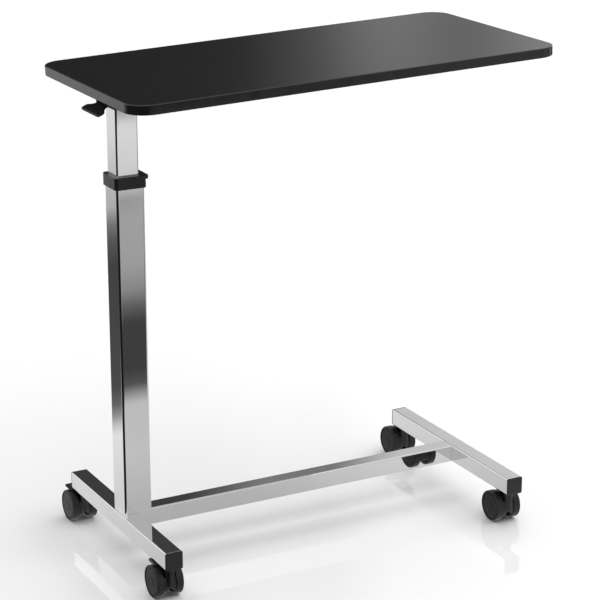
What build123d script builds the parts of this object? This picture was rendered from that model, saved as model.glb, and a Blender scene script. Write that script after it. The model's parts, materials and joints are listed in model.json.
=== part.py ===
from build123d import *
import os
from math import cos, radians, sin

# Overbed table on four twin-wheel casters: a square telescopic mast with a lockable gas spring
# stands on the left crossbar of an H-shaped base and carries a cantilevered board.
# Millimetres. X runs along the board from the mast to the free end, Y across it, Z up.
# The origin is on the floor under the centre of the whole object.

# Board
board_length = 762.0
board_width = 381.0
board_thickness = 16.0
board_corner_radius = 38.0
board_height = 822.0  # top surface at the board's centre
board_rise_deg = 1.7  # preset rise towards the free end, taken up when the board is loaded
band_thickness = 2.0
band_easing = 1.6
laminate_thickness = 1.0

# Base
bar_size = 30.0
bar_wall = 1.5
bar_corner_radius = 2.5
bar_half_length = 192.0
bar_bottom = 59.0
left_bar_x = -331.4
right_bar_x = 314.2
cap_flange = 3.0
cap_plug_depth = 8.0
cap_plug_play = 0.3

# Mast
mast_x = -316.0
mast_size = 48.0
mast_wall = 1.5
mast_corner_radius = 4.0
mast_top = 659.0
column_x = -318.0  # the inner tube stands a little off the mast's centre
column_size = 38.0
column_wall = 1.5
column_corner_radius = 3.0
column_bottom = 203.0
column_top = 770.0
slide_play = 0.25
collar_height = 20.0
collar_wall = 3.0
collar_rim = 2.0
ledge_height = 7.0  # the collar has a small ledge towards the free end
ledge_width = 46.0
ledge_reach = 4.0
bushing_depth = 38.0
guide_depth = 30.0
foot_plate_thickness = 5.0

# Lockable gas spring
cylinder_radius = 14.0
cylinder_bore = 12.0
cylinder_bottom = 118.0
cylinder_top = 600.0
cylinder_end = 10.0
eye_height = 106.0
eye_half_thickness = 4.0
eye_half_width = 9.0
eye_pin_radius = 4.0
rod_radius = 5.0
rod_top = 776.0
piston_bottom = 234.0
piston_height = 14.0
rod_nut_radius = 9.0
rod_nut_height = 6.0
running_play = 0.05
pin_radius = 2.0
pin_top = 781.4
pin_length = 25.0
pin_bore_depth = 28.0

# Head, release lever and top frame
head_plate_thickness = 5.0
head_plate_length = 46.0
cheek_outer = 25.0
cheek_thickness = 3.0
cheek_left = -350.0
cheek_right = -296.0
cheek_top = 787.0
channel_wall = 2.2
channel_depth = 16.0
channel_left = -350.0
channel_right = 205.0
arm_positions = (-285.0, 180.0)
arm_width = 40.0
arm_half_length = 150.0
arm_thickness = 5.0
screw_spread = 130.0
bolt_positions = (-327.0, -303.0)
bolt_height = 781.0
bolt_radius = 2.5
bolt_head_radius = 4.5
bolt_head_height = 3.0
lever_pivot_x = -340.0
lever_pivot_z = 782.0
lever_pin_radius = 2.5
lever_hub_radius = 4.5
lever_slope_deg = 26.0
lever_thickness = 3.0
paddle_reach = 36.7
paddle_depth = 14.0
paddle_width = 69.0
neck_width = 38.0
lever_arm_reach = 27.0
lever_arm_width = 14.0

# Casters
wheel_radius = 27.0
wheel_width = 13.0
wheel_inner_face = 10.0
wheel_rounding = 1.6
axle_radius = 3.0
axle_half_length = 21.0
caster_trail = 21.5
stem_spacing = 175.0  # from the base's centre line to each stem
stem_radius = 5.0
stem_flange_radius = 9.0
stem_flange = 3.0
stem_top = 74.0
stem_nut_radius = 9.2
stem_nut_height = 8.0
pivot_radius = 4.0
pivot_bottom = 30.0
hood_radius = 25.8
hood_wall = 3.0
hood_half_width = 9.5
hood_web = 5.0
hood_cut_height = 15.5
hood_shelf = 40.0  # the hood is cut down to this height in front, around the swivel boss
hood_shelf_depth = 17.0
slot_width = 8.0
slot_height = 20.0
boss_radius = 8.0
pedal_pivot_y = 12.0
pedal_pivot_z = 54.3
pedal_pin_radius = 1.5
pedal_tip = 43.0
pedal_start = 16.0
pedal_width = 38.0
pedal_thickness = 2.4
pedal_rise_deg = 2.0

# Places worked out from the sizes above
rear_reach = stem_spacing + caster_trail + wheel_radius
centre_y = (bar_half_length + cap_flange - rear_reach) / 2  # base, mast and board share this line
bar_top = bar_bottom + bar_size
bar_middle = bar_bottom + bar_size / 2
mast_inside = mast_size - 2 * mast_wall
gland_bottom = cylinder_top - cylinder_end
board_centre = Vector(0, centre_y, board_height - board_thickness / 2)
board_normal = (-sin(radians(board_rise_deg)), 0, cos(radians(board_rise_deg)))
board_along = (cos(radians(board_rise_deg)), 0, sin(radians(board_rise_deg)))
board_middle_plane = Plane(origin=board_centre, x_dir=board_along, z_dir=board_normal)
board_under_plane = board_middle_plane.offset(-board_thickness / 2)
board_top_plane = board_middle_plane.offset(board_thickness / 2)
arm_under_plane = board_under_plane.offset(-arm_thickness)
pilot_radius = 2.0
screw_length = 15.0
screw_head_radius = 4.0
screw_head_height = 2.4

os.makedirs("parts", exist_ok=True)


def save(part, name):
    """Labels a finished piece and writes it as its own STEP file."""
    part.label = name
    export_step(part, f"parts/{name}.step")


def square_tube(plane, size, wall, corner_radius, length):
    """A rounded square tube that starts on a plane and runs along its normal."""
    with BuildPart() as tube:
        with BuildSketch(plane):
            RectangleRounded(size, size, corner_radius)
            RectangleRounded(
                size - 2 * wall, size - 2 * wall, corner_radius - wall + 0.2, mode=Mode.SUBTRACT
            )
        extrude(amount=length)
    return tube.part


# ---------------------------------------------------------------- base frame

stem_places = (centre_y - stem_spacing, centre_y + stem_spacing)

for bar_name, bar_x in (("left_crossbar", left_bar_x), ("right_crossbar", right_bar_x)):
    bar_start = Plane(
        origin=(bar_x, centre_y - bar_half_length, bar_middle), x_dir=(1, 0, 0), z_dir=(0, 1, 0)
    )
    with BuildPart() as crossbar:
        add(square_tube(bar_start, bar_size, bar_wall, bar_corner_radius, 2 * bar_half_length))
        with Locations(*((bar_x, y, bar_bottom) for y in stem_places)):
            Cylinder(stem_radius + 0.1, 4 * bar_wall, mode=Mode.SUBTRACT)
    save(crossbar.part, bar_name)

long_bar_start = left_bar_x + bar_size / 2
long_bar_length = right_bar_x - bar_size / 2 - long_bar_start
long_bar = square_tube(
    Plane(origin=(long_bar_start, centre_y, bar_middle), x_dir=(0, 1, 0), z_dir=(1, 0, 0)),
    bar_size,
    bar_wall,
    bar_corner_radius,
    long_bar_length,
)
save(long_bar, "long_bar")

cap_names = ("left_front", "left_rear", "right_front", "right_rear")
cap_places = [(x, side) for x in (left_bar_x, right_bar_x) for side in (-1, 1)]
for cap_name, (cap_x, side) in zip(cap_names, cap_places):
    bar_end = Plane(
        origin=(cap_x, centre_y + side * bar_half_length, bar_middle),
        x_dir=(1, 0, 0),
        z_dir=(0, side, 0),
    )
    plug_size = bar_size - 2 * bar_wall - 2 * cap_plug_play
    with BuildPart() as end_cap:
        with BuildSketch(bar_end):
            RectangleRounded(bar_size, bar_size, bar_corner_radius)
        extrude(amount=cap_flange)
        face_edges = end_cap.faces().sort_by(Axis.Y)[-1 if side > 0 else 0].edges()
        fillet(face_edges, radius=1.2)
        with BuildSketch(bar_end):
            Rectangle(plug_size, plug_size)
            Rectangle(plug_size - 4, plug_size - 4, mode=Mode.SUBTRACT)
        extrude(amount=-cap_plug_depth)
    save(end_cap.part, f"{cap_name}_end_cap")

# ---------------------------------------------------------------- mast, fixed half

mast_foot = Plane.XY.offset(bar_top)
mast_tube = square_tube(
    Plane(origin=(mast_x, centre_y, bar_top)), mast_size, mast_wall, mast_corner_radius, mast_top - bar_top
)
save(mast_tube, "outer_mast_tube")

with BuildPart() as foot_plate:
    with BuildSketch(mast_foot):
        with Locations((mast_x, centre_y)):
            RectangleRounded(mast_inside, mast_inside, mast_corner_radius - mast_wall + 0.4)
    extrude(amount=foot_plate_thickness)
    lug_thickness = 4.0
    lug_offset = eye_half_thickness + 0.3 + lug_thickness / 2
    lug_height = eye_height + eye_half_width - bar_top
    for lug_side in (-1, 1):
        with BuildSketch(mast_foot):
            with Locations((column_x, centre_y + lug_side * lug_offset)):
                Rectangle(2 * eye_half_width, lug_thickness)
        extrude(amount=lug_height)
    with Locations(Location((column_x, centre_y, eye_height), (90, 0, 0))):
        Cylinder(eye_pin_radius, mast_inside / 2, mode=Mode.SUBTRACT)
save(foot_plate.part, "mast_foot_plate")

with BuildPart() as bushing:
    with BuildSketch(Plane.XY.offset(mast_top - bushing_depth)):
        with Locations((mast_x, centre_y)):
            RectangleRounded(mast_inside - 0.1, mast_inside - 0.1, mast_corner_radius - mast_wall + 0.3)
        with Locations((column_x, centre_y)):
            RectangleRounded(
                column_size + 2 * slide_play,
                column_size + 2 * slide_play,
                column_corner_radius + slide_play,
                mode=Mode.SUBTRACT,
            )
    extrude(amount=bushing_depth)
save(bushing.part, "guide_bushing")

collar_size = mast_size + 2 * collar_wall
collar_top = mast_top + collar_rim
with BuildPart() as collar:
    with BuildSketch(Plane.XY.offset(collar_top - collar_height)):
        with Locations((mast_x, centre_y)):
            RectangleRounded(collar_size, collar_size, mast_corner_radius + collar_wall - 1)
    extrude(amount=collar_height)
    with BuildSketch(Plane.XY.offset(collar_top - ledge_height)):
        with Locations((mast_x + collar_size / 2, centre_y)):
            Rectangle(2 * ledge_reach, ledge_width)
    extrude(amount=ledge_height)
    chamfer(collar.faces().sort_by(Axis.Z)[-1].edges(), length=0.8)
    with BuildSketch(Plane.XY.offset(collar_top - collar_height)):
        with Locations((mast_x, centre_y)):
            RectangleRounded(mast_size, mast_size, mast_corner_radius)
    extrude(amount=collar_height - collar_rim, mode=Mode.SUBTRACT)
    with BuildSketch(Plane.XY.offset(mast_top)):
        with Locations((column_x, centre_y)):
            RectangleRounded(column_size + 1, column_size + 1, column_corner_radius + 0.5)
    extrude(amount=collar_rim, mode=Mode.SUBTRACT)
save(collar.part, "mast_collar")

with BuildPart() as cylinder:
    with BuildSketch(Plane.XY.offset(cylinder_bottom)):
        with Locations((column_x, centre_y)):
            Circle(cylinder_radius)
    extrude(amount=cylinder_top - cylinder_bottom)
    fillet(cylinder.faces().sort_by(Axis.Z)[-1].edges(), radius=1.5)
    with BuildSketch(Plane.XY.offset(cylinder_bottom + cylinder_end)):
        with Locations((column_x, centre_y)):
            Circle(cylinder_bore)
    extrude(amount=gland_bottom - cylinder_bottom - cylinder_end, mode=Mode.SUBTRACT)
    with BuildSketch(Plane.XY.offset(gland_bottom)):
        with Locations((column_x, centre_y)):
            Circle(rod_radius + running_play)
    extrude(amount=cylinder_end, mode=Mode.SUBTRACT)
    eye_bottom = eye_height - eye_half_width
    with BuildSketch(Plane.XY.offset(eye_bottom)):
        with Locations((column_x, centre_y)):
            Rectangle(2 * eye_half_width, 2 * eye_half_thickness)
    extrude(amount=cylinder_bottom - eye_bottom)
    with Locations(Location((column_x, centre_y, eye_height), (90, 0, 0))):
        Cylinder(eye_pin_radius, 4 * eye_half_thickness, mode=Mode.SUBTRACT)
save(cylinder.part, "gas_spring_cylinder")

with BuildPart() as eye_pin:
    with Locations(Location((column_x, centre_y, eye_height), (90, 0, 0))):
        Cylinder(eye_pin_radius, 22)
    chamfer(eye_pin.edges(), length=0.5)
save(eye_pin.part, "gas_spring_pin")

# ---------------------------------------------------------------- mast, sliding half

column_tube = square_tube(
    Plane(origin=(column_x, centre_y, column_bottom)),
    column_size,
    column_wall,
    column_corner_radius,
    column_top - column_bottom,
)
save(column_tube, "inner_mast_tube")

with BuildPart() as lower_guide:
    with BuildSketch(Plane.XY.offset(column_bottom)):
        with Locations((mast_x, centre_y)):
            guide_size = mast_inside - 2 * slide_play
            RectangleRounded(guide_size, guide_size, mast_corner_radius - mast_wall + 0.3)
        with Locations((column_x, centre_y)):
            RectangleRounded(column_size, column_size, column_corner_radius, mode=Mode.SUBTRACT)
    extrude(amount=guide_depth)
save(lower_guide.part, "lower_guide")

with BuildPart() as rod:
    with BuildSketch(Plane.XY.offset(piston_bottom)):
        with Locations((column_x, centre_y)):
            Circle(rod_radius)
    extrude(amount=rod_top - piston_bottom)
    with BuildSketch(Plane.XY.offset(piston_bottom)):
        with Locations((column_x, centre_y)):
            Circle(cylinder_bore - running_play)
    extrude(amount=piston_height)
    with BuildSketch(Plane.XY.offset(rod_top - pin_bore_depth)):
        with Locations((column_x, centre_y)):
            Circle(pin_radius + running_play)
    extrude(amount=pin_bore_depth, mode=Mode.SUBTRACT)
save(rod.part, "piston_rod")

with BuildPart() as release_pin:
    with BuildSketch(Plane.XY.offset(pin_top - pin_length)):
        with Locations((column_x, centre_y)):
            Circle(pin_radius)
    extrude(amount=pin_length)
    fillet(release_pin.faces().sort_by(Axis.Z)[-1].edges(), radius=0.8)
save(release_pin.part, "release_pin")

with BuildPart() as rod_nut:
    with BuildSketch(Plane.XY.offset(column_top - rod_nut_height)):
        with Locations((column_x, centre_y)):
            RegularPolygon(rod_nut_radius, 6)
            Circle(rod_radius, mode=Mode.SUBTRACT)
    extrude(amount=rod_nut_height)
save(rod_nut.part, "rod_lock_nut")

# ---------------------------------------------------------------- head bracket and lever

channel_outer = cheek_outer + 0.3 + channel_wall
bolt_places = [(x, side) for x in bolt_positions for side in (-1, 1)]


def cross_bore(x, z, radius, half_length):
    """Cuts a round hole along Y, centred on the mast line."""
    with Locations(Location((x, centre_y, z), (90, 0, 0))):
        Cylinder(radius, 2 * half_length, mode=Mode.SUBTRACT)


with BuildPart() as head:
    with BuildSketch(Plane.XY.offset(column_top)):
        with Locations((column_x, centre_y)):
            Rectangle(head_plate_length, 2 * cheek_outer)
            Circle(rod_radius, mode=Mode.SUBTRACT)
    extrude(amount=head_plate_thickness)
    for cheek_side in (-1, 1):
        cheek_y = centre_y + cheek_side * (cheek_outer - cheek_thickness / 2)
        with BuildSketch(Plane.XY.offset(column_top + head_plate_thickness)):
            with Locations(((cheek_left + cheek_right) / 2, cheek_y)):
                Rectangle(cheek_right - cheek_left, cheek_thickness)
        extrude(amount=cheek_top - column_top - head_plate_thickness)
    cross_bore(lever_pivot_x, lever_pivot_z, lever_pin_radius, cheek_outer + 1)
    for bolt_x in bolt_positions:
        cross_bore(bolt_x, bolt_height, bolt_radius, cheek_outer + 1)
save(head.part, "head_bracket")

# The channel hangs under the cross arms, open downwards, with its web against them.
with BuildPart() as channel:
    channel_middle = (channel_left + channel_right) / 2
    with BuildSketch(arm_under_plane):
        with Locations((channel_middle, 0)):
            Rectangle(channel_right - channel_left, 2 * channel_outer)
    extrude(amount=-channel_depth)
    with BuildSketch(arm_under_plane.offset(-channel_wall)):
        with Locations((channel_middle, 0)):
            Rectangle(channel_right - channel_left + 2, 2 * channel_outer - 2 * channel_wall)
    extrude(amount=-channel_depth, mode=Mode.SUBTRACT)
    cross_bore(lever_pivot_x, lever_pivot_z, lever_pin_radius, channel_outer + 1)
    for bolt_x in bolt_positions:
        cross_bore(bolt_x, bolt_height, bolt_radius, channel_outer + 1)
save(channel.part, "support_channel")

with BuildPart() as bracket_bolts:
    for bolt_x, bolt_side in bolt_places:
        bolt_plane = Plane(
            origin=(bolt_x, centre_y + bolt_side * channel_outer, bolt_height),
            x_dir=(1, 0, 0),
            z_dir=(0, bolt_side, 0),
        )
        with BuildSketch(bolt_plane):
            Circle(bolt_head_radius)
        extrude(amount=bolt_head_height)
        with BuildSketch(bolt_plane.offset(bolt_head_height)):
            RegularPolygon(2, 6)
        extrude(amount=-2, mode=Mode.SUBTRACT)
        with BuildSketch(bolt_plane):
            Circle(bolt_radius)
        extrude(amount=-(channel_outer - cheek_outer + cheek_thickness))
save(bracket_bolts.part, "bracket_bolts")

with BuildPart() as lever_pin:
    with Locations(Location((lever_pivot_x, centre_y, lever_pivot_z), (90, 0, 0))):
        Cylinder(lever_pin_radius, 2 * channel_outer + 3)
    chamfer(lever_pin.edges(), length=0.4)
save(lever_pin.part, "lever_pin")

# The lever is a bent plate on a tubular hub: a wide paddle outside, a short arm over the pin.
lever_slope = radians(lever_slope_deg)
lever_plane = Plane(
    origin=(lever_pivot_x, centre_y, lever_pivot_z),
    x_dir=(cos(lever_slope), 0, sin(lever_slope)),
    z_dir=(-sin(lever_slope), 0, cos(lever_slope)),
)
paddle_inner = -paddle_reach + paddle_depth
with BuildPart() as lever:
    with BuildSketch(lever_plane.offset(-lever_thickness)):
        with BuildLine():
            outer_edge = Line((-paddle_reach, 0), (-paddle_reach, paddle_width / 2))
            paddle_end = Line(outer_edge @ 1, (paddle_inner - 2, paddle_width / 2))
            neck_start = (paddle_inner + 7, neck_width / 2)
            shoulder = Spline(paddle_end @ 1, neck_start, tangents=[(1, -0.6), (1, 0)])
            Polyline(shoulder @ 1, (0, neck_width / 2), (0, 0))
            mirror(about=Plane.XZ)
        make_face()
    extrude(amount=lever_thickness)
    outer_corners = lever.edges().filter_by(Axis(lever_plane.origin, lever_plane.z_dir))
    fillet(outer_corners.sort_by(Axis.X)[:2], radius=5)
    with Locations(Location((lever_pivot_x, centre_y, lever_pivot_z), (90, 0, 0))):
        Cylinder(lever_hub_radius, neck_width)
    arm_bottom = pin_top + 0.1
    with BuildSketch(Plane.XY.offset(arm_bottom)):
        with Locations((lever_pivot_x + lever_arm_reach / 2, centre_y)):
            Rectangle(lever_arm_reach, lever_arm_width)
    extrude(amount=lever_thickness)
    with Locations(Location((lever_pivot_x, centre_y, lever_pivot_z), (90, 0, 0))):
        Cylinder(lever_pin_radius + running_play, neck_width + 2, mode=Mode.SUBTRACT)
save(lever.part, "release_lever")

# ---------------------------------------------------------------- top frame and board

screw_places = [
    (arm_x + dx, side * dy)
    for arm_x in arm_positions
    for dx, dy in ((-10, screw_spread), (10, screw_spread), (0, screw_spread - 70))
    for side in (-1, 1)
]

for arm_name, arm_x in zip(("left_cross_arm", "right_cross_arm"), arm_positions):
    with BuildPart() as arm:
        with BuildSketch(arm_under_plane):
            with Locations((arm_x, 0)):
                RectangleRounded(arm_width, 2 * arm_half_length, 4)
            with Locations(*(place for place in screw_places if abs(place[0] - arm_x) < arm_width)):
                Circle(pilot_radius + 0.2, mode=Mode.SUBTRACT)
        extrude(amount=arm_thickness)
    save(arm.part, arm_name)

with BuildPart() as board_screws:
    with BuildSketch(arm_under_plane):
        with Locations(*screw_places):
            Circle(screw_head_radius)
    extrude(amount=-screw_head_height)
    with BuildSketch(arm_under_plane):
        with Locations(*screw_places):
            Circle(pilot_radius)
    extrude(amount=screw_length)
save(board_screws.part, "board_screws")

core_length = board_length - 2 * band_thickness
core_width = board_width - 2 * band_thickness
core_radius = board_corner_radius - band_thickness
with BuildPart() as board:
    with BuildSketch(board_under_plane):
        RectangleRounded(core_length, core_width, core_radius)
    extrude(amount=board_thickness - laminate_thickness)
    with BuildSketch(board_under_plane):
        with Locations(*screw_places):
            Circle(pilot_radius)
    extrude(amount=screw_length - arm_thickness, mode=Mode.SUBTRACT)
save(board.part, "tabletop_board")

with BuildPart() as laminate:
    with BuildSketch(board_top_plane):
        RectangleRounded(core_length, core_width, core_radius)
    extrude(amount=-laminate_thickness)
save(laminate.part, "top_laminate")

with BuildPart() as band:
    with BuildSketch(board_under_plane):
        RectangleRounded(board_length, board_width, board_corner_radius)
    extrude(amount=board_thickness)
    flat_edges = [e for e in band.edges() if abs(e.tangent_at(0.5).dot(Vector(*board_normal))) < 0.01]
    fillet(flat_edges, radius=band_easing)
    with BuildSketch(board_under_plane):
        RectangleRounded(core_length, core_width, core_radius)
    extrude(amount=board_thickness, mode=Mode.SUBTRACT)
save(band.part, "edge_band")

# ---------------------------------------------------------------- casters

with BuildPart() as stem:
    with BuildSketch(Plane.XY.offset(pivot_bottom)):
        Circle(pivot_radius)
    extrude(amount=bar_bottom - pivot_bottom)
    with BuildSketch(Plane.XY.offset(bar_bottom - stem_flange)):
        RegularPolygon(stem_flange_radius, 6)
    extrude(amount=stem_flange)
    with BuildSketch(Plane.XY.offset(bar_bottom)):
        Circle(stem_radius)
    extrude(amount=stem_top - bar_bottom)
    chamfer(stem.faces().sort_by(Axis.Z)[-1].edges(), length=0.8)

with BuildPart() as axle:
    with Locations(Location((0, caster_trail, wheel_radius), (0, 90, 0))):
        Cylinder(axle_radius, 2 * axle_half_length)
    chamfer(axle.edges(), length=0.5)


def caster_hood(braked):
    """The moulded body between the two wheels, with the swivel boss and a lug for a brake pedal."""
    axle_line = Location((0, caster_trail, wheel_radius), (0, 90, 0))
    boss_top = bar_bottom - stem_flange - 0.4
    full_width = 2 * hood_half_width
    # A drum about the axle with a shelf in front and a flat cut below: solid, hollowed, then the web.
    layers = ((0, full_width, Mode.ADD), (hood_wall, full_width, Mode.SUBTRACT), (1, hood_web, Mode.ADD))
    with BuildPart() as hood:
        for inset, width, mode in layers:
            with BuildSketch(Plane.YZ.offset(-width / 2)):
                with Locations((caster_trail, wheel_radius)):
                    Circle(hood_radius - inset)
                with Locations((hood_shelf_depth + inset, hood_shelf - inset)):
                    Rectangle(60, 60, align=(Align.MAX, Align.MIN), mode=Mode.SUBTRACT)
                with Locations((caster_trail, hood_cut_height)):
                    Rectangle(80, 60, align=(Align.CENTER, Align.MAX), mode=Mode.SUBTRACT)
            extrude(amount=width, mode=mode)
        with Locations(axle_line):
            Cylinder(7, full_width)
        with Locations((0, 0, 0)):
            Box(slot_width, 24, 2 * slot_height, mode=Mode.SUBTRACT)
        with BuildSketch(Plane.XY.offset(pivot_bottom - 6)):
            Circle(boss_radius)
        extrude(amount=boss_top - pivot_bottom + 6)
        if braked:
            lug_bottom = hood_shelf - 1
            with Locations((0, pedal_pivot_y - 1.5, lug_bottom)):
                Box(8, 9, pedal_pivot_z - lug_bottom, align=(Align.CENTER, Align.CENTER, Align.MIN))
            with Locations(Location((0, pedal_pivot_y, pedal_pivot_z), (0, 90, 0))):
                Cylinder(3, 8)
                Cylinder(pedal_pin_radius + running_play, 10, mode=Mode.SUBTRACT)
        with Locations(axle_line):
            Cylinder(axle_radius, 3 * hood_half_width, mode=Mode.SUBTRACT)
        with BuildSketch(Plane.XY.offset(pivot_bottom - 2)):
            Circle(pivot_radius + running_play)
        extrude(amount=boss_top, mode=Mode.SUBTRACT)
    return hood.part


def caster_wheel(side):
    """One wheel of a twin pair: a rounded rim, a recessed outer disc and a bore for the axle."""
    inner_face = Plane(
        origin=(side * wheel_inner_face, caster_trail, wheel_radius), x_dir=(0, 1, 0), z_dir=(side, 0, 0)
    )
    with BuildPart() as wheel:
        with BuildSketch(inner_face):
            Circle(wheel_radius)
        extrude(amount=wheel_width)
        fillet(wheel.edges(), radius=wheel_rounding)
        with BuildSketch(inner_face.offset(wheel_width)):
            Circle(wheel_radius - 5)
        extrude(amount=-0.8, mode=Mode.SUBTRACT)
        with BuildSketch(inner_face):
            Circle(wheel_radius - 4)
            Circle(6.5, mode=Mode.SUBTRACT)
        extrude(amount=wheel_width - 4, mode=Mode.SUBTRACT)
        with BuildSketch(inner_face):
            Circle(axle_radius + running_play)
        extrude(amount=wheel_width - 1.5, mode=Mode.SUBTRACT)
    return wheel.part


with BuildPart() as pedal:
    pedal_rise = radians(pedal_rise_deg)
    pedal_plane = Plane(
        origin=(0, pedal_pivot_y, pedal_pivot_z + 0.7),
        x_dir=(1, 0, 0),
        z_dir=(0, -sin(pedal_rise), cos(pedal_rise)),
    )
    plate_length = pedal_tip - pedal_start
    plate_middle = (pedal_tip + pedal_start) / 2 - pedal_pivot_y
    with BuildSketch(pedal_plane):
        with Locations((0, plate_middle)):
            RectangleRounded(pedal_width, plate_length, 4)
    extrude(amount=pedal_thickness)
    for arm_side in (-1, 1):
        with BuildSketch(pedal_plane):
            with Locations((arm_side * 6.7, 3)):
                Rectangle(4.4, 10)
        extrude(amount=3)
        # Below the plate the arms only go round the pin, so the plate's underside clears the treads.
        with BuildSketch(pedal_plane):
            with Locations((arm_side * 6.7, 0.5)):
                Rectangle(4.4, 5)
        extrude(amount=-1)
    with Locations(Location((0, pedal_pivot_y, pedal_pivot_z), (0, 90, 0))):
        Cylinder(pedal_pin_radius, 17)

plain_hood = caster_hood(braked=False)
braked_hood = caster_hood(braked=True)
wheels = {"left": caster_wheel(-1), "right": caster_wheel(1)}
corners = {
    "left_front": (left_bar_x, centre_y - stem_spacing, True),
    "left_rear": (left_bar_x, centre_y + stem_spacing, True),
    "right_front": (right_bar_x, centre_y - stem_spacing, False),
    "right_rear": (right_bar_x, centre_y + stem_spacing, False),
}
for corner, (corner_x, corner_y, braked) in corners.items():
    place = Location((corner_x, corner_y, 0))
    save(stem.part.moved(place), f"{corner}_caster_stem")
    save((braked_hood if braked else plain_hood).moved(place), f"{corner}_caster_hood")
    save(axle.part.moved(place), f"{corner}_caster_axle")
    for side_name, wheel in wheels.items():
        save(wheel.moved(place), f"{corner}_{side_name}_wheel")
    if braked:
        save(pedal.part.moved(place), f"{corner}_brake_pedal")

with BuildPart() as stem_nuts:
    with BuildSketch(Plane.XY.offset(bar_bottom + bar_wall)):
        with Locations(*((x, y) for x, y, braked in corners.values())):
            RegularPolygon(stem_nut_radius, 6)
            Circle(stem_radius, mode=Mode.SUBTRACT)
    extrude(amount=stem_nut_height)
save(stem_nuts.part, "stem_nuts")
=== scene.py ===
import json
import math

import bmesh
import bpy
from mathutils import Matrix, Vector


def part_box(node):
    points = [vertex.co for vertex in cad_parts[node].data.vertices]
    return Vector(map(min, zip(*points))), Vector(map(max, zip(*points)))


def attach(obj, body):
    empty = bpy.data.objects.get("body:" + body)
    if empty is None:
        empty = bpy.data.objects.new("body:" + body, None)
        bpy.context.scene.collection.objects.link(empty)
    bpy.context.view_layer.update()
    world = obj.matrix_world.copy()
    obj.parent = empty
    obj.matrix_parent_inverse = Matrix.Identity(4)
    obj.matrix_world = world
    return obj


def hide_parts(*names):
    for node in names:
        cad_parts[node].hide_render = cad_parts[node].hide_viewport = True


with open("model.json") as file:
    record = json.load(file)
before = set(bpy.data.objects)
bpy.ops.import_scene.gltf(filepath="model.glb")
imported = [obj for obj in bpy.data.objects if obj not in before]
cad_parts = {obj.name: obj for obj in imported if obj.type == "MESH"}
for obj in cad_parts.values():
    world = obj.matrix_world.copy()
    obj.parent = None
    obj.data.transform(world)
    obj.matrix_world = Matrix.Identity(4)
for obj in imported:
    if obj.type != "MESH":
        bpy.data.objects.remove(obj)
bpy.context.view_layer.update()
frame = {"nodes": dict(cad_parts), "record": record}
record = frame["record"]
joints = {joint["name"]: joint for joint in record["behaviour"]["joints"]}
board_mount = record["mounts"][0]
CORNERS = ("left_front", "left_rear", "right_front", "right_rear")
MM = 0.001


# ------------------------------------------------------------------ camera, floor and light

# What the chrome mirrors. The floor's reflection is painted: its brightness goes by the distance in metres
# in front of the mast and behind it; the panel's behind the free end goes by the compass bearing in degrees.
PAINTED_FRONT_REFLECTION = (
    (-3.35, 0.05), (-3.0, 0.90), (-2.5, 0.82), (-2.3, 0.66), (-2.18, 0.41), (-2.0, 0.47),
    (-1.6, 0.44), (-1.42, 0.32), (-1.31, 0.15), (-1.20, 0.065), (-0.91, 0.062), (-0.82, 0.11),
    (-0.77, 0.38), (-0.72, 0.66), (-0.48, 0.70), (-0.28, 0.60), (-0.1, 0.54),
)
PAINTED_BACK_REFLECTION = (
    (-0.1, 0.66), (0.25, 0.82), (0.53, 0.96), (0.58, 0.68), (0.62, 0.38), (0.68, 0.16),
    (0.78, 0.085), (1.58, 0.070), (1.78, 0.12), (1.92, 0.23), (2.08, 0.54), (2.4, 0.66),
    (2.8, 0.84), (3.3, 0.90),
)
LOW_PANEL = (
    (20.0, 0.02), (26.2, 0.03), (28.2, 0.18), (29.4, 0.42), (30.4, 0.49), (31.4, 0.37),
    (32.2, 0.28), (32.9, 0.34), (33.8, 0.52), (36.0, 0.80),
)
HIGH_PANEL = (
    (20.0, 0.055), (25.0, 0.06), (26.2, 0.15), (27.2, 0.24), (29.3, 0.23), (30.1, 0.42),
    (31.2, 0.68), (36.0, 0.74),
)


def mast_line():
    """The point on the floor under the middle of the mast and the base's centre line."""
    low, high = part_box("outer_mast_tube")
    return Vector(((low.x + high.x) / 2, (low.y + high.y) / 2, 0))


def add_camera():
    """A long lens, turned 28 degrees to the table and looking down 18 degrees."""
    azimuth = math.radians(-28.33)
    elevation = math.radians(17.69)
    distance_from_board = Vector((-1.6068, -2.9786, 1.4829))
    data = bpy.data.cameras.new("camera")
    data.sensor_width = 36.0
    data.lens = 126.64
    data.clip_start = 0.1
    data.clip_end = 100.0
    camera = bpy.data.objects.new("camera", data)
    forward = Vector((
        -math.sin(azimuth) * math.cos(elevation),
        math.cos(azimuth) * math.cos(elevation),
        -math.sin(elevation),
    ))
    camera.location = distance_from_board + Vector((0, mast_line().y, 0))
    camera.rotation_mode = "QUATERNION"
    camera.rotation_quaternion = forward.to_track_quat("-Z", "Y")
    bpy.context.scene.collection.objects.link(camera)
    bpy.context.scene.camera = camera


class Nodes:
    """A short way to write node trees: add a node, set its inputs, link what is a socket."""

    def __init__(self, tree):
        self.tree = tree
        tree.nodes.clear()

    def add(self, kind, inputs=None, **settings):
        node = self.tree.nodes.new(kind)
        for key, value in settings.items():
            setattr(node, key, value)
        for key, value in (inputs or {}).items():
            if isinstance(value, bpy.types.NodeSocket):
                self.tree.links.new(value, node.inputs[key])
            else:
                node.inputs[key].default_value = value
        return node

    def math(self, operation, *values):
        node = self.tree.nodes.new("ShaderNodeMath")
        node.operation = operation
        for i, value in enumerate(values):
            if isinstance(value, bpy.types.NodeSocket):
                self.tree.links.new(value, node.inputs[i])
            else:
                node.inputs[i].default_value = value
        return node.outputs[0]

    def blend(self, value, low, high, from_low, from_high, smooth=True):
        """Maps a value from one range to another, clamped."""
        node = self.add("ShaderNodeMapRange", {
            "Value": value, "From Min": from_low, "From Max": from_high, "To Min": low, "To Max": high,
        })
        node.interpolation_type = "SMOOTHSTEP" if smooth else "LINEAR"
        node.clamp = True
        return node.outputs[0]


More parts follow.
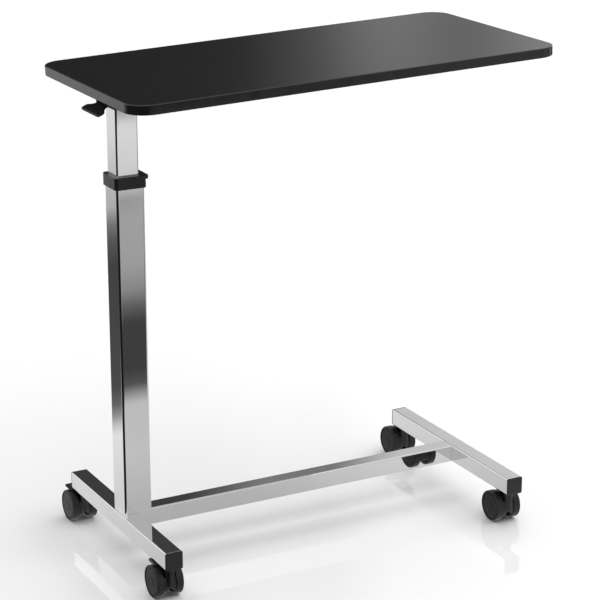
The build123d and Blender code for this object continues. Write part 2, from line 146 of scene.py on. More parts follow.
def studio_world():
    """What the chrome mirrors above the floor: a bright panel behind the free end and a dark gap
    behind the mast. The camera itself sees plain white."""
    world = bpy.data.worlds.new("studio")
    bpy.context.scene.world = world
    world.use_nodes = True
    n = Nodes(world.node_tree)
    direction = n.add("ShaderNodeTexCoord").outputs["Generated"]
    axes = n.add("ShaderNodeSeparateXYZ", {0: direction})
    turn = n.math("DEGREES", n.math("ARCTAN2", axes.outputs[0], axes.outputs[1]))
    rise = n.math("DEGREES", n.math("ARCSINE", axes.outputs[2]))

    # Dark between the back left and the panel, bright overhead and on the far left.
    higher = n.blend(rise, 0.0, 1.0, 14.0, 18.0)
    panel = mix_value(n, higher, level_ramp(n, turn, LOW_PANEL), level_ramp(n, turn, HIGH_PANEL))
    upper = n.math("MAXIMUM", panel, n.blend(turn, 1.15, 0.0, -13.0, -7.0))
    upper = mix_value(n, n.blend(rise, 0.0, 1.0, 30.0, 50.0), upper, 0.95)
    level = mix_value(n, n.blend(rise, 0.0, 1.0, -3.0, 3.0), 0.8, upper)
    rays = n.add("ShaderNodeLightPath")
    level = mix_value(n, rays.outputs["Is Diffuse Ray"], level, 0.44)
    level = mix_value(n, rays.outputs["Is Camera Ray"], level, 1.0)
    background = n.add("ShaderNodeBackground", {"Color": (1, 1, 1, 1), "Strength": level})
    n.add("ShaderNodeOutputWorld", {"Surface": background.outputs[0]})


def mix_value(n, share, first, second):
    """first where share is 0, second where it is 1."""
    node = n.add("ShaderNodeMix", {0: share, 2: first, 3: second})
    return node.outputs[0]


def level_ramp(n, value, stops):
    """A ramp of (value, level) stops."""
    lowest, highest = stops[0][0], stops[-1][0]
    ramp = n.add("ShaderNodeValToRGB", {0: n.blend(value, 0.0, 1.0, lowest, highest, smooth=False)})
    elements = ramp.color_ramp.elements
    while len(elements) < len(stops):
        elements.new(0.5)
    for element, (place, level) in zip(elements, stops):
        element.position = (place - lowest) / (highest - lowest)
        element.color = (level, level, level, 1)
    return ramp.outputs[0]


def floor_material():
    """A pale polished studio floor: matt white under a thin clear mirror."""
    material = bpy.data.materials.new("studio_floor")
    material.use_nodes = True
    n = Nodes(material.node_tree)
    matt = n.add("ShaderNodeBsdfDiffuse", {"Color": (0.865, 0.865, 0.865, 1)})
    gloss = n.add("ShaderNodeBsdfGlossy", {"Color": (1, 1, 1, 1), "Roughness": 0.005})
    mixed = n.add("ShaderNodeMixShader", {0: 0.15, 1: matt.outputs[0], 2: gloss.outputs[0]})
    n.add("ShaderNodeOutputMaterial", {"Surface": mixed.outputs[0]})
    return material


def painted_reflection_floor_material():
    """Painted reflection: a glowing copy of the floor that only mirrors see, pale, with darker stretches and
    a dark side on the left painted in.
    """
    material = bpy.data.materials.new("painted_reflection_floor")
    material.use_nodes = True
    n = Nodes(material.node_tree)
    place = n.add("ShaderNodeSeparateXYZ", {0: n.add("ShaderNodeTexCoord").outputs["Object"]})
    x = n.math("SUBTRACT", place.outputs[0], mast_line().x)
    y = n.math("SUBTRACT", place.outputs[1], mast_line().y)
    near = n.math("MULTIPLY", n.blend(x, 0.0, 0.26, 0.2, 0.7), n.blend(y, 0.0, 1.0, -0.5, -0.3))
    front = n.math("ADD", level_ramp(n, y, PAINTED_FRONT_REFLECTION), near)
    far_right = n.math("MULTIPLY", n.blend(x, 0.0, 0.45, 1.9, 3.0), n.blend(y, 1.0, 0.0, -3.3, -3.1))
    front = n.math("ADD", front, far_right)
    level = mix_value(n, n.blend(y, 0.0, 1.0, -0.09, -0.06), front, level_ramp(n, y, PAINTED_BACK_REFLECTION))
    turn = n.math("DEGREES", n.math("ARCTAN2", x, y))
    rising = n.blend(turn, 0.0, 1.0, -177.0, -165.0)
    falling = n.blend(turn, 1.0, 0.0, -70.0, -45.0)
    left_side = n.math("MULTIPLY", rising, falling)
    reach = n.math("SQRT", n.math("ADD", n.math("MULTIPLY", x, x), n.math("MULTIPLY", y, y)))
    left_side = n.math("MULTIPLY", left_side, n.blend(reach, 0.0, 1.0, 0.16, 0.22))
    level = mix_value(n, left_side, level, 0.012)
    # Painted reflection: this glow's strength is the painted light and dark of the floor.
    glow = n.add("ShaderNodeEmission", {"Color": (1, 1, 1, 1), "Strength": level})
    n.add("ShaderNodeOutputMaterial", {"Surface": glow.outputs[0]})
    return material


def flat_sheet(name, half, height, material):
    mesh = bpy.data.meshes.new(name)
    corners = [(-half, -half, height), (half, -half, height), (half, half, height), (-half, half, height)]
    mesh.from_pydata(corners, [], [(0, 1, 2, 3)])
    sheet = bpy.data.objects.new(name, mesh)
    mesh.materials.append(material)
    bpy.context.scene.collection.objects.link(sheet)
    return sheet


def add_stage():
    """The floor the camera sees, and just under it a glowing sheet of painted reflection that only mirrors
    see.
    """
    floor = flat_sheet("studio_floor", 40.0, 0.0, floor_material())
    floor.visible_glossy = False
    # A glowing sheet that paints the floor's reflection, seen by mirrors only.
    mirrored = flat_sheet("painted_reflection_floor", 14.0, -0.0005, painted_reflection_floor_material())
    mirrored.visible_camera = False
    mirrored.visible_diffuse = False
    mirrored.visible_shadow = False
    mirrored.visible_transmission = False


def soft_sun(strength, tilt_x, tilt_y, spread):
    """An even, very soft light from above that leaves only faint shadows on the floor."""
    data = bpy.data.lights.new("soft_sun", "SUN")
    data.energy = strength
    data.angle = math.radians(spread)
    light = bpy.data.objects.new("soft_sun", data)
    light.rotation_euler = (math.radians(tilt_x), math.radians(tilt_y), 0)
    light.visible_glossy = False
    bpy.context.scene.collection.objects.link(light)


bpy.context.scene.view_settings.view_transform = "Standard"
add_camera()
studio_world()
add_stage()
soft_sun(3.0, 0.0, 18.0, 95.0)

# ------------------------------------------------------------------ materials


def new_material(name):
    material = bpy.data.materials.new(name)
    material.use_nodes = True
    return material, Nodes(material.node_tree)


def stretched_noise(n, stretch, scale, detail=3.0):
    """Noise in the table's own metres, drawn out along an axis by a small scale on it."""
    place = n.add("ShaderNodeTexCoord").outputs["Object"]
    mapping = n.add("ShaderNodeMapping", {"Vector": place, "Scale": stretch})
    inputs = {"Vector": mapping.outputs[0], "Scale": scale, "Detail": detail}
    return n.add("ShaderNodeTexNoise", inputs).outputs["Fac"]


def chrome_material(name, stretch):
    """Plated tube: mirror bright, with faint polishing lines along the tube and a little haze."""
    material, n = new_material(name)
    lines = stretched_noise(n, stretch, 900.0)
    haze = stretched_noise(n, (1, 1, 1), 14.0)
    tint = n.add("ShaderNodeMix", data_type="RGBA")
    for key, value in ((0, haze), (6, (0.70, 0.70, 0.705, 1)), (7, (0.78, 0.78, 0.78, 1))):
        if isinstance(value, bpy.types.NodeSocket):
            n.tree.links.new(value, tint.inputs[key])
        else:
            tint.inputs[key].default_value = value
    roughness = n.math("ADD", n.blend(haze, 0.015, 0.035, 0.3, 0.7), n.blend(lines, 0.0, 0.02, 0.35, 0.65))
    bump = n.add("ShaderNodeBump", {"Height": lines, "Strength": 0.02, "Distance": 0.0001})
    shader = n.add("ShaderNodeBsdfPrincipled", {
        "Base Color": tint.outputs[2], "Metallic": 1.0, "Roughness": roughness, "Normal": bump.outputs[0],
    })
    n.add("ShaderNodeOutputMaterial", {"Surface": shader.outputs[0]})
    return material


def plastic_material(name, dark, light, rough_low, rough_high, grain=2600.0, depth=0.00008, sheen=0.5):
    """Moulded plastic: a fine spark-eroded grain and slow changes of sheen."""
    material, n = new_material(name)
    fine = stretched_noise(n, (1, 1, 1), grain)
    slow = stretched_noise(n, (1, 1, 1), 45.0)
    colour = n.add("ShaderNodeMix", data_type="RGBA")
    n.tree.links.new(slow, colour.inputs[0])
    colour.inputs[6].default_value = (*dark, 1)
    colour.inputs[7].default_value = (*light, 1)
    roughness = n.blend(slow, rough_low, rough_high, 0.3, 0.7)
    bump = n.add("ShaderNodeBump", {"Height": fine, "Strength": 0.25, "Distance": depth})
    shader = n.add("ShaderNodeBsdfPrincipled", {
        "Base Color": colour.outputs[2], "Roughness": roughness, "Normal": bump.outputs[0],
        "Specular IOR Level": sheen,
    })
    n.add("ShaderNodeOutputMaterial", {"Surface": shader.outputs[0]})
    return material


def laminate_material():
    """Black laminate: a soft sheen over a fine straight grain that runs along the board."""
    material, n = new_material("black_laminate")
    grain = stretched_noise(n, (1.6, 70, 70), 14.0, detail=6.0)
    pores = stretched_noise(n, (12, 420, 420), 9.0)
    figure = n.math("ADD", n.math("MULTIPLY", grain, 0.7), n.math("MULTIPLY", pores, 0.3))
    ramp = n.add("ShaderNodeValToRGB", {0: figure})
    ramp.color_ramp.elements[0].position = 0.35
    ramp.color_ramp.elements[0].color = (0.0050, 0.0050, 0.0048, 1)
    ramp.color_ramp.elements[1].position = 0.68
    ramp.color_ramp.elements[1].color = (0.0100, 0.0098, 0.0095, 1)
    roughness = n.blend(figure, 0.13, 0.19, 0.35, 0.68)
    bump = n.add("ShaderNodeBump", {"Height": figure, "Strength": 0.12, "Distance": 0.0003})
    shader = n.add("ShaderNodeBsdfPrincipled", {
        "Base Color": ramp.outputs[0], "Roughness": roughness, "IOR": 1.5, "Normal": bump.outputs[0],
    })
    n.add("ShaderNodeOutputMaterial", {"Surface": shader.outputs[0]})
    return material


def metal_material(name, dark, light, rough_low, rough_high):
    """Bright zinc or machined steel: a cloudy plate."""
    material, n = new_material(name)
    cloud = stretched_noise(n, (1, 1, 1), 160.0)
    colour = n.add("ShaderNodeMix", data_type="RGBA")
    n.tree.links.new(cloud, colour.inputs[0])
    colour.inputs[6].default_value = (*dark, 1)
    colour.inputs[7].default_value = (*light, 1)
    roughness = n.blend(cloud, rough_low, rough_high, 0.3, 0.7)
    shader = n.add("ShaderNodeBsdfPrincipled", {
        "Base Color": colour.outputs[2], "Metallic": 1.0, "Roughness": roughness,
    })
    n.add("ShaderNodeOutputMaterial", {"Surface": shader.outputs[0]})
    return material


UPRIGHT = (1, 1, 0.02)
ALONG = (0.02, 1, 1)
ACROSS = (1, 0.02, 1)
chrome_upright = chrome_material("chrome_upright", UPRIGHT)
chrome_along = chrome_material("chrome_along", ALONG)
chrome_across = chrome_material("chrome_across", ACROSS)
laminate = laminate_material()
edge_plastic = plastic_material("edge_band_plastic", (0.005,) * 3, (0.008,) * 3, 0.14, 0.20, sheen=0.5)
black_plastic = plastic_material(
    "moulded_black", (0.005, 0.005, 0.0048), (0.008, 0.008, 0.0077), 0.22, 0.32, sheen=0.42,
)
wheel_plastic = plastic_material("wheel_nylon", (0.003,) * 3, (0.005,) * 3, 0.26, 0.36, sheen=0.14)
# The tread is a lighter copy of the wheel nylon: its lighter colour is painted sheen, and its higher
# specular level is real.
tread_painted_sheen = plastic_material("wheel_tread_painted_sheen", (0.006,) * 3, (0.010,) * 3, 0.32, 0.42, sheen=0.36)
lever_plastic = plastic_material("lever_black", (0.004,) * 3, (0.007,) * 3, 0.28, 0.38, sheen=0.35)
white_nylon = plastic_material("natural_nylon", (0.74, 0.74, 0.70), (0.82, 0.82, 0.79), 0.40, 0.55)
powder_coat = plastic_material("black_powder_coat", (0.014,) * 3, (0.022,) * 3, 0.45, 0.58, 1500.0, 0.0002)
backing = plastic_material("black_backing_sheet", (0.020,) * 3, (0.030,) * 3, 0.50, 0.64, 700.0, 0.0002)
zinc = metal_material("zinc_plate", (0.55, 0.55, 0.53), (0.68, 0.68, 0.67), 0.22, 0.38)

NODE_MATERIALS = {
    "chrome": chrome_upright,
    "inner_chrome": chrome_upright,
    "black_laminate": laminate,
    "board_core": backing,
    "black_edge": edge_plastic,
    "black_plastic": black_plastic,
    "wheel_plastic": wheel_plastic,
    "lever_plastic": lever_plastic,
    "white_nylon": white_nylon,
    "black_steel": powder_coat,
    "zinc_steel": zinc,
}


def dress_cad_nodes():
    """Gives every CAD node the material of its slot. Detailed pieces then replace the ones most seen."""
    for subpart in record["subparts"]:
        node = frame["nodes"][subpart["node"]]
        node.data.materials.clear()
        node.data.materials.append(NODE_MATERIALS[subpart["material_slot"]])


dress_cad_nodes()

# ------------------------------------------------------------------ mesh tools


def piece(name, vertices, faces, material, body, nodes=(), sharp=35.0):
    """Makes a smooth-shaded mesh piece that rides on a body and stands for its CAD nodes."""
    mesh = bpy.data.meshes.new(name)
    mesh.from_pydata([tuple(v) for v in vertices], [], faces)
    build = bmesh.new()
    build.from_mesh(mesh)
    bmesh.ops.remove_doubles(build, verts=build.verts, dist=1e-6)
    bmesh.ops.recalc_face_normals(build, faces=build.faces)
    build.to_mesh(mesh)
    build.free()
    mesh.shade_smooth()
    mesh.set_sharp_from_angle(angle=math.radians(sharp))
    obj = bpy.data.objects.new(name, mesh)
    bpy.context.scene.collection.objects.link(obj)
    flats = obj.modifiers.new("keep_flats_flat", "WEIGHTED_NORMAL")
    flats.weight = 100
    flats.keep_sharp = True
    mesh.materials.append(material)
    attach(obj, body)
    if nodes:
        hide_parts(*nodes)
    return obj


def rounded_rectangle(width, height, radius, steps=8):
    """Corner arcs of a rounded rectangle about the origin, anticlockwise."""
    points = []
    for corner in range(4):
        sx = 1 if corner in (0, 3) else -1
        sy = 1 if corner in (0, 1) else -1
        centre = Vector((sx * (width / 2 - radius), sy * (height / 2 - radius)))
        for i in range(steps + 1):
            angle = math.radians(90 * corner + 90 * i / steps)
            points.append(centre + radius * Vector((math.cos(angle), math.sin(angle))))
    return points


def loft(rings, closed_ring=True, cap_start=True, cap_end=True):
    """Joins rings of equal count into faces; rings are lists of 3-D points."""
    count = len(rings[0])
    vertices = [p for ring in rings for p in ring]
    faces = []
    last = count if closed_ring else count - 1
    for r in range(len(rings) - 1):
        for i in range(last):
            j = (i + 1) % count
            faces.append((r * count + i, r * count + j, (r + 1) * count + j, (r + 1) * count + i))
    if cap_start:
        faces.append(tuple(reversed(range(count))))
    if cap_end:
        faces.append(tuple(range((len(rings) - 1) * count, len(rings) * count)))
    return vertices, faces


def place_ring(outline, origin, across, up, normal, height):
    return [origin + across * p.x + up * p.y + normal * height for p in outline]


def quarter(radius, steps=5):
    """(inset, height) pairs of a quarter round, from the side of a block up to its top face."""
    return [
        (
            radius * (1 - math.cos(math.radians(90 * i / steps))),
            radius * math.sin(math.radians(90 * i / steps)),
        )
        for i in range(steps + 1)
    ]


def tube(name, node, body, axis, radius, wall, material, easing=0.0004):
    """A square tube with true corner arcs, eased ends and its inner wall, from its CAD node's box."""
    low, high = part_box(node)
    centre = (low + high) / 2
    normal = Vector([1 if i == axis else 0 for i in range(3)])
    across = Vector([1 if i == (axis + 1) % 3 else 0 for i in range(3)])
    up = normal.cross(across)
    width = high[(axis + 1) % 3] - low[(axis + 1) % 3]
    half = (high[axis] - low[axis]) / 2
    inner_width = width - 2 * wall
    inner_radius = max(radius - wall, 0.0004)
    stations = [
        (inner_width, inner_radius, -half),
        (width - 2 * easing, radius - easing, -half),
        (width, radius, -half + easing),
        (width, radius, half - easing),
        (width - 2 * easing, radius - easing, half),
        (inner_width, inner_radius, half),
        (inner_width, inner_radius, -half),
    ]
    rings = [
        place_ring(rounded_rectangle(size, size, r), centre, across, up, normal, at)
        for size, r, at in stations
    ]
    vertices, faces = loft(rings, cap_start=False, cap_end=False)
    return piece(name, vertices, faces, material, body, [node])


def lathe(profile, origin, axis, start, steps=72):
    """Turns (radius, distance along the axis) points about an axis; ends on the axis are closed."""
    side = axis.cross(start)
    rings = []
    for radius, along in profile:
        ring = []
        for i in range(steps):
            angle = 2 * math.pi * i / steps
            spoke = start * math.cos(angle) + side * math.sin(angle)
            ring.append(origin + axis * along + spoke * max(radius, 1e-7))
        rings.append(ring)
    return loft(rings, cap_start=profile[0][0] > 1e-6, cap_end=profile[-1][0] > 1e-6)


# ------------------------------------------------------------------ chrome frame

TUBE_RADIUS = 2.5 * MM
MAST_RADIUS = 4.0 * MM
COLUMN_RADIUS = 3.0 * MM
WALL = 1.5 * MM

tube("left_crossbar_chrome", "left_crossbar", "base", 1, TUBE_RADIUS, WALL, chrome_across)
tube("right_crossbar_chrome", "right_crossbar", "base", 1, TUBE_RADIUS, WALL, chrome_across)
tube("long_bar_chrome", "long_bar", "base", 0, TUBE_RADIUS, WALL, chrome_along)
tube("outer_mast_chrome", "outer_mast_tube", "base", 2, MAST_RADIUS, WALL, chrome_upright)
tube("inner_mast_chrome", "inner_mast_tube", "lift", 2, COLUMN_RADIUS, WALL, chrome_upright)

# ------------------------------------------------------------------ board

BOARD_LENGTH = 762 * MM
BOARD_WIDTH = 381 * MM
BOARD_THICKNESS = 16 * MM
BOARD_RADIUS = 38 * MM
BAND = 2 * MM
LAMINATE = 1 * MM
BAND_EASING = 1.6 * MM

board_origin = Vector(board_mount["pos_m"])
board_up = Vector(board_mount["axis"]).normalized()
board_across = Vector((0, 1, 0))
board_along = board_across.cross(board_up)


def board_ring(inset, height):
    """The board's outline, drawn in by an inset, at a height from its top face."""
    outline = rounded_rectangle(
        BOARD_LENGTH - 2 * inset, BOARD_WIDTH - 2 * inset, BOARD_RADIUS - inset, steps=20
    )
    return place_ring(outline, board_origin, board_along, board_across, board_up, height)


def make_board():
    arris = 0.25 * MM
    top_rings = [
        board_ring(BAND, -LAMINATE), board_ring(BAND, -arris), board_ring(BAND + arris, 0),
    ]
    vertices, faces = loft(top_rings)
    piece("tabletop_laminate", vertices, faces, laminate, "lift", ["top_laminate"])
    round_over = quarter(BAND_EASING)
    band_rings = [board_ring(BAND, -BOARD_THICKNESS)]
    band_foot = -BOARD_THICKNESS + BAND_EASING
    band_rings += [board_ring(inset, band_foot - height) for inset, height in reversed(round_over)]
    band_rings += [board_ring(inset, -BAND_EASING + height) for inset, height in round_over]
    band_rings += [board_ring(BAND, 0), board_ring(BAND, -BOARD_THICKNESS)]
    vertices, faces = loft(band_rings, cap_start=False, cap_end=False)
    piece("tabletop_edge_band", vertices, faces, edge_plastic, "lift", ["edge_band"])
    core_rings = [
        board_ring(BAND + arris, -BOARD_THICKNESS), board_ring(BAND, -BOARD_THICKNESS + arris),
        board_ring(BAND, -LAMINATE),
    ]
    vertices, faces = loft(core_rings)
    piece("tabletop_underside", vertices, faces, backing, "lift", ["tabletop_board"])


make_board()

# ------------------------------------------------------------------ moulded pieces


def solid_box(low, high):
    build = bmesh.new()
    bmesh.ops.create_cube(build, size=1.0)
    low, high = Vector(low), Vector(high)
    for vertex in build.verts:
        vertex.co = Vector(((low[i] + high[i]) / 2 + vertex.co[i] * (high[i] - low[i]) for i in range(3)))
    return scratch_object(build)


def solid_cylinder(centre, axis, radius, length, steps=64):
    build = bmesh.new()
    bmesh.ops.create_cone(
        build, cap_ends=True, segments=steps, radius1=radius, radius2=radius, depth=length,
        matrix=Matrix.Translation(centre) @ Vector(axis).to_track_quat("Z", "Y").to_matrix().to_4x4(),
    )
    return scratch_object(build)


def solid_outline(points, plane, thickness):
    """A plate from a flat outline: plane is (origin, x direction, y direction, normal)."""
    origin, across, up, normal = plane
    rings = [place_ring(points, origin, across, up, normal, height) for height in (0, thickness)]
    vertices, faces = loft(rings)
    build = bmesh.new()
    made = [build.verts.new(v) for v in vertices]
    for face in faces:
        build.faces.new([made[i] for i in face])
    bmesh.ops.recalc_face_normals(build, faces=build.faces)
    return scratch_object(build)


def scratch_object(build):
    mesh = bpy.data.meshes.new("scratch")
    build.to_mesh(mesh)
    build.free()
    obj = bpy.data.objects.new("scratch", mesh)
    bpy.context.scene.collection.objects.link(obj)
    return obj


def carve(target, tool, operation):
    """Joins or cuts one scratch solid with another, and drops the tool."""
    modifier = target.modifiers.new("carve", "BOOLEAN")
    modifier.operation = operation
    modifier.solver = "EXACT"
    modifier.object = tool
    bake_modifiers(target)
    bpy.data.objects.remove(tool)


def bake_modifiers(obj):
    graph = bpy.context.evaluated_depsgraph_get()
    mesh = bpy.data.meshes.new_from_object(obj.evaluated_get(graph))
    obj.modifiers.clear()
    obj.data = mesh


def soften(obj, voxel, rounds):
    """Turns a carved solid into a moulded one: an even skin with every edge rounded a little."""
    remesh = obj.modifiers.new("skin", "REMESH")
    remesh.mode = "VOXEL"
    remesh.voxel_size = voxel
    remesh.adaptivity = 0.0
    smooth = obj.modifiers.new("round", "SMOOTH")
    smooth.factor = 0.5
    smooth.iterations = rounds
    bake_modifiers(obj)


def take_mesh(obj):
    """The scratch object's mesh as (vertices, faces); the object is dropped."""
    vertices = [v.co.copy() for v in obj.data.vertices]
    faces = [tuple(p.vertices) for p in obj.data.polygons]
    bpy.data.objects.remove(obj)
    return vertices, faces


def moved(vertices, offset):
    return [v + offset for v in vertices]


WHEEL_RADIUS = 27 * MM
TREAD_DEPTH = 1.8 * MM
TRAIL = 21.5 * MM
HOOD_RADIUS = 25.8 * MM
HOOD_HALF = 9.5 * MM
SHELF = 40 * MM
SHELF_DEPTH = 17 * MM
HOOD_CUT = 15.5 * MM
HOOD_WALL = 3 * MM
BOSS_RADIUS = 8 * MM
BOSS_TOP = 55.6 * MM
PEDAL_PIVOT = Vector((0, 12 * MM, 54.3 * MM))
PEDAL_TILT = math.radians(2.0)
PEDAL_ARM_X = 6.7 * MM
PEDAL_ARM_HALF = 2.2 * MM
SKIN = 0.5 * MM  # the voxel size of moulded pieces
MOULDED_SHARP = 60  # edges of a moulded piece that turn more degrees than this are shaded sharp


def hood_solid(inset, half_width, centre_x=0.0):
    """The drum about the axle, with its shelf in front and its flat cut below."""
    axle = Vector((centre_x, TRAIL, WHEEL_RADIUS))
    drum = solid_cylinder(axle, (1, 0, 0), HOOD_RADIUS - inset, 2 * half_width, steps=96)
    far = 60 * MM
    carve(drum, solid_box((-far, -far, SHELF - inset), (far, SHELF_DEPTH + inset, far * 2)), "DIFFERENCE")
    carve(drum, solid_box((-far, -far, -far), (far, 2 * far, HOOD_CUT - 0.5 * inset)), "DIFFERENCE")
    return drum


def hood_mesh(braked):
    """A caster's body about its stem: drum, web, swivel boss and, with a brake, the pedal's lug."""
    hood = hood_solid(0, HOOD_HALF)
    web = 2.5 * MM
    pocket = (HOOD_HALF - web) / 2 + 1 * MM
    for side in (-1, 1):
        carve(hood, hood_solid(HOOD_WALL, pocket, side * (web + pocket)), "DIFFERENCE")
    carve(hood, solid_cylinder((0, TRAIL, WHEEL_RADIUS), (1, 0, 0), 7 * MM, 2 * HOOD_HALF), "UNION")
    carve(hood, solid_box((-4 * MM, -12 * MM, 0), (4 * MM, 12 * MM, 20 * MM)), "DIFFERENCE")
    boss_bottom = 24 * MM
    boss_middle = (0, 0, (BOSS_TOP + boss_bottom) / 2)
    boss = solid_cylinder(boss_middle, (0, 0, 1), BOSS_RADIUS, BOSS_TOP - boss_bottom)
    carve(hood, boss, "UNION")
    if braked:
        carve(hood, solid_box((-4 * MM, 6 * MM, SHELF - 1 * MM), (4 * MM, 15 * MM, PEDAL_PIVOT.z)), "UNION")
        carve(hood, solid_cylinder(PEDAL_PIVOT, (1, 0, 0), 3 * MM, 8 * MM), "UNION")
    soften(hood, SKIN, 5)
    return take_mesh(hood)


def pedal_mesh():
    """The brake pedal about the caster's stem: a ribbed tread plate and two arms with their eyes at the
    hinge.
    """
    up = Vector((0, -math.sin(PEDAL_TILT), math.cos(PEDAL_TILT)))
    along = Vector((0, math.cos(PEDAL_TILT), math.sin(PEDAL_TILT)))
    plane = (PEDAL_PIVOT + Vector((0, 0, 0.7 * MM)) + along * 17.5 * MM, Vector((1, 0, 0)), along, up)
    plate = solid_outline(rounded_rectangle(38 * MM, 27 * MM, 5 * MM), plane, 2.4 * MM)
    for row in range(3):
        middle = plane[0] + along * (2 + 4 * row) * MM + up * 2 * MM
        carve(plate, solid_cylinder(middle, (1, 0, 0), 0.8 * MM, 30 * MM, steps=16), "UNION")
    for side in (-1, 1):
        arm = solid_box(
            PEDAL_PIVOT + Vector((side * PEDAL_ARM_X - PEDAL_ARM_HALF, -2 * MM, 0.7 * MM)),
            PEDAL_PIVOT + Vector((side * PEDAL_ARM_X + PEDAL_ARM_HALF, 8 * MM, 3.5 * MM)),
        )
        carve(plate, arm, "UNION")
        eye = solid_box(
            PEDAL_PIVOT + Vector((side * PEDAL_ARM_X - PEDAL_ARM_HALF, -2 * MM, -0.3 * MM)),
            PEDAL_PIVOT + Vector((side * PEDAL_ARM_X + PEDAL_ARM_HALF, 3 * MM, 1 * MM)),
        )
        carve(plate, eye, "UNION")
    soften(plate, SKIN, 4)
    return take_mesh(plate)


def wheel_profile():
    """(radius, distance from the wheel's inner face) in millimetres, from the hub out and back."""
    tread = quarter(1.6)
    profile = [(0, 9.2), (3.2, 9.2), (3.2, 0.4), (6.2, 0.4), (6.4, 8.8), (22.0, 8.8), (22.8, 0.5), (23.4, 0)]
    profile += [(27 - inset, 1.6 - height) for inset, height in reversed(tread)]
    profile += [(27 - inset, 11.4 + height) for inset, height in tread]
    profile += [(24.0, 13), (23.8, 12.8), (23.6, 11.9), (23.2, 11.7)]
    profile += [(22.5, 11.7), (22.2, 12.0), (21.9, 12.5)]
    profile += [(8.0, 12.75), (7.7, 12.6), (7.5, 12.2), (7.2, 12.2), (7.0, 12.5), (6.7, 12.7), (0, 12.8)]
    return [(radius * MM, along * MM) for radius, along in profile]


def make_casters():
    hoods = {True: hood_mesh(True), False: hood_mesh(False)}
    pedal_vertices, pedal_faces = pedal_mesh()
    for corner in CORNERS:
        stem_low, stem_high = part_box(f"{corner}_caster_stem")
        stem = Vector(((stem_low.x + stem_high.x) / 2, (stem_low.y + stem_high.y) / 2, 0))
        body = f"{corner}_caster"
        braked = f"{corner}_brake_pedal" in frame["nodes"]
        vertices, faces = hoods[braked]
        vertices = moved(vertices, stem)
        nodes = [f"{corner}_caster_hood"]
        piece(f"{corner}_hood", vertices, faces, black_plastic, body, nodes, MOULDED_SHARP)
        for side_name, side in (("left", -1), ("right", 1)):
            node = f"{corner}_{side_name}_wheel"
            low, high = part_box(node)
            inner = high.x if side < 0 else low.x
            origin = Vector((inner, (low.y + high.y) / 2, (low.z + high.z) / 2))
            outward = Vector((side, 0, 0))
            vertices, faces = lathe(wheel_profile(), origin, outward, Vector((0, 0, 1)), steps=96)
            wheel = piece(f"{node}_moulded", vertices, faces, wheel_plastic, node, [node])
            # The tread faces take the lighter copy with its painted sheen.
            wheel.data.materials.append(tread_painted_sheen)
            for face in wheel.data.polygons:
                across = face.center - origin
                if math.hypot(across.y, across.z) > WHEEL_RADIUS - TREAD_DEPTH:
                    face.material_index = 1
        if braked:
            vertices = moved(pedal_vertices, stem)
            body = f"{corner}_brake"
            nodes = [f"{corner}_brake_pedal"]
            name = f"{corner}_pedal"
            piece(name, vertices, pedal_faces, black_plastic, body, nodes, MOULDED_SHARP)


make_casters()


LEVER_SLOPE = math.radians(26)
LEVER_PLATE = 3 * MM
HUB_RADIUS = 4.5 * MM
HUB_LENGTH = 38 * MM
HUB_BORE = 2.6 * MM
LIP_REACH = 35.2 * MM
LIP_SINK = 0.6 * MM
LIP_RADIUS = 1.4 * MM
LIP_LENGTH = 60 * MM
ARM_REACH = 27 * MM
ARM_HALF = 7 * MM
ARM_GAP = 0.1 * MM  # between the arm and the valve pin's end


def lever_outline():
    """Places along and across the lever plate, from the paddle's outer edge in to the hub, both sides."""
    reach, half_width, neck = 36.7, 34.5, 19
    eased = ((0, 5), (0.4, 3.1), (1.5, 1.5), (3.1, 0.4), (5, 0))
    corner = [(-reach + inset, half_width - height) for inset, height in eased]
    shoulder = [(-27.6, half_width), (-25.6, 33.9), (-24.0, 32.4), (-22.6, 29.8)]
    shoulder += [(-20.8, 25.6), (-18.6, 21.9), (-15.7, neck)]
    half = corner + shoulder + [(0, neck)]
    both = half + [(x, -y) for x, y in reversed(half)]
    return [Vector((x * MM, y * MM)) for x, y in both]


def make_lever():
    """The height lever: a paddle with a rolled outer lip, its hub, and the arm over the valve pin."""
    pivot = Vector(joints["lever_pivot"]["pos_m"])
    hinge = (0, 1, 0)
    across = Vector((math.cos(LEVER_SLOPE), 0, math.sin(LEVER_SLOPE)))
    normal = Vector((-math.sin(LEVER_SLOPE), 0, math.cos(LEVER_SLOPE)))
    plane = (pivot - normal * LEVER_PLATE, across, Vector(hinge), normal)
    lever = solid_outline(lever_outline(), plane, LEVER_PLATE)
    lip = pivot - across * LIP_REACH - normal * LIP_SINK
    carve(lever, solid_cylinder(lip, hinge, LIP_RADIUS, LIP_LENGTH, steps=24), "UNION")
    carve(lever, solid_cylinder(pivot, hinge, HUB_RADIUS, HUB_LENGTH), "UNION")
    arm_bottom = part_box("release_pin")[1].z + ARM_GAP
    arm = solid_box(
        (pivot.x, pivot.y - ARM_HALF, arm_bottom),
        (pivot.x + ARM_REACH, pivot.y + ARM_HALF, arm_bottom + LEVER_PLATE),
    )
    carve(lever, arm, "UNION")
    carve(lever, solid_cylinder(pivot, hinge, HUB_BORE, HUB_LENGTH + 2 * MM), "DIFFERENCE")
    soften(lever, SKIN, 3)
    vertices, faces = take_mesh(lever)
    nodes = ["release_lever"]
    piece("height_lever", vertices, faces, lever_plastic, "lever", nodes, MOULDED_SHARP)


make_lever()


def round_metal_edges():
    """A small worn radius on the plates, arms and bolts that are shown as they are."""
    for subpart in record["subparts"]:
        if subpart["material_slot"] not in ("black_steel", "zinc_steel"):
            continue
        node = frame["nodes"][subpart["node"]]
        weld = node.modifiers.new("joined_corners", "WELD")
        weld.merge_threshold = 0.00001
        bevel = node.modifiers.new("worn_edges", "BEVEL")
        bevel.width = 0.35 * MM
        bevel.segments = 2
        bevel.limit_method = "ANGLE"
        bevel.angle_limit = math.radians(40)
        flats = node.modifiers.new("keep_flats_flat", "WEIGHTED_NORMAL")
        flats.weight = 100


round_metal_edges()


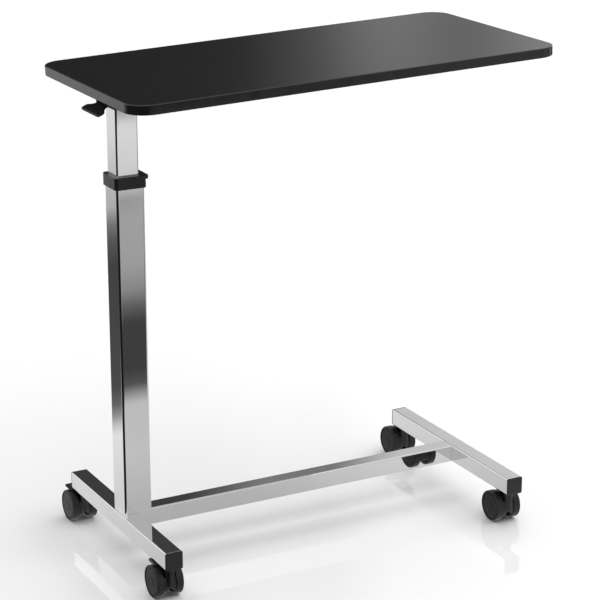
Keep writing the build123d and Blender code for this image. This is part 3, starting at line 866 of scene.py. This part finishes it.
def make_end_caps():
    """Square caps with a soft edge and a slightly crowned face, pressed into the crossbars' ends."""
    easing = 1.3 * MM
    for corner in CORNERS:
        node = f"{corner}_end_cap"
        low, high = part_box(node)
        size = high.x - low.x
        side = -1 if corner.endswith("front") else 1
        flange = 3 * MM
        outer_y = low.y if side < 0 else high.y
        origin = Vector(((low.x + high.x) / 2, outer_y - side * flange, (low.z + high.z) / 2))
        across = Vector((1, 0, 0))
        up = Vector((0, 0, 1))
        normal = Vector((0, side, 0))
        stations = [(1.8 * MM, -8 * MM), (1.8 * MM, 0), (0, 0)]
        stations += [(inset, flange - easing - 0.3 * MM + height) for inset, height in quarter(easing)]
        stations += [(4 * MM, flange - 0.1 * MM), (9 * MM, flange)]
        rings = []
        for inset, height in stations:
            radius = max(TUBE_RADIUS - inset, 0.8 * MM)
            outline = rounded_rectangle(size - 2 * inset, size - 2 * inset, radius)
            rings.append(place_ring(outline, origin, across, up, normal, height))
        vertices, faces = loft(rings)
        piece(f"{node}_moulded", vertices, faces, black_plastic, "base", [node])


make_end_caps()


def make_collar():
    """The mast's collar: an eased square ring with a sloping rim and the small ledge on its right."""
    low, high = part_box("mast_collar")
    mast_low, mast_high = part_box("outer_mast_tube")
    column_low, column_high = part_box("inner_mast_tube")
    centre = Vector(((mast_low.x + mast_high.x) / 2, (mast_low.y + mast_high.y) / 2, 0))
    column = Vector(((column_low.x + column_high.x) / 2, centre.y, 0))
    outer = high.y - low.y
    outer_radius = 6 * MM
    easing = 0.8 * MM
    hole = column_high.y - column_low.y + 1 * MM
    east, north, up = Vector((1, 0, 0)), Vector((0, 1, 0)), Vector((0, 0, 1))

    def ring(middle, size, radius, height):
        return place_ring(rounded_rectangle(size, size, radius), middle, east, north, up, height)

    inner_bottom = (mast_high.y - mast_low.y) + 0.1 * MM
    rings = [ring(centre, inner_bottom, MAST_RADIUS, low.z)]
    for inset, height in reversed(quarter(easing)):
        rings.append(ring(centre, outer - 2 * inset, outer_radius - inset, low.z + easing - height))
    for inset, height in quarter(1.4 * easing):
        rings.append(ring(centre, outer - 2 * inset, outer_radius - inset, high.z - 1.4 * easing + height))
    lip = 0.5 * MM
    rings.append(ring(column, hole + 2 * lip, COLUMN_RADIUS + lip, high.z))
    rings.append(ring(column, hole, COLUMN_RADIUS, high.z - lip))
    rings.append(ring(column, hole, COLUMN_RADIUS, mast_high.z))
    vertices, faces = loft(rings, cap_start=False, cap_end=False)
    piece("mast_collar_moulded", vertices, faces, black_plastic, "base", ["mast_collar"])
    ledge_half = 23 * MM
    ledge_height = 7 * MM
    inner_x = centre.x + outer / 2 - 1 * MM
    ledge = solid_box(
        (inner_x, centre.y - ledge_half, high.z - ledge_height),
        (high.x, centre.y + ledge_half, high.z),
    )
    bevel = ledge.modifiers.new("bevel", "BEVEL")
    bevel.width = 0.9 * MM
    bevel.segments = 4
    bake_modifiers(ledge)
    vertices, faces = take_mesh(ledge)
    piece("mast_collar_ledge", vertices, faces, black_plastic, "base")


make_collar()
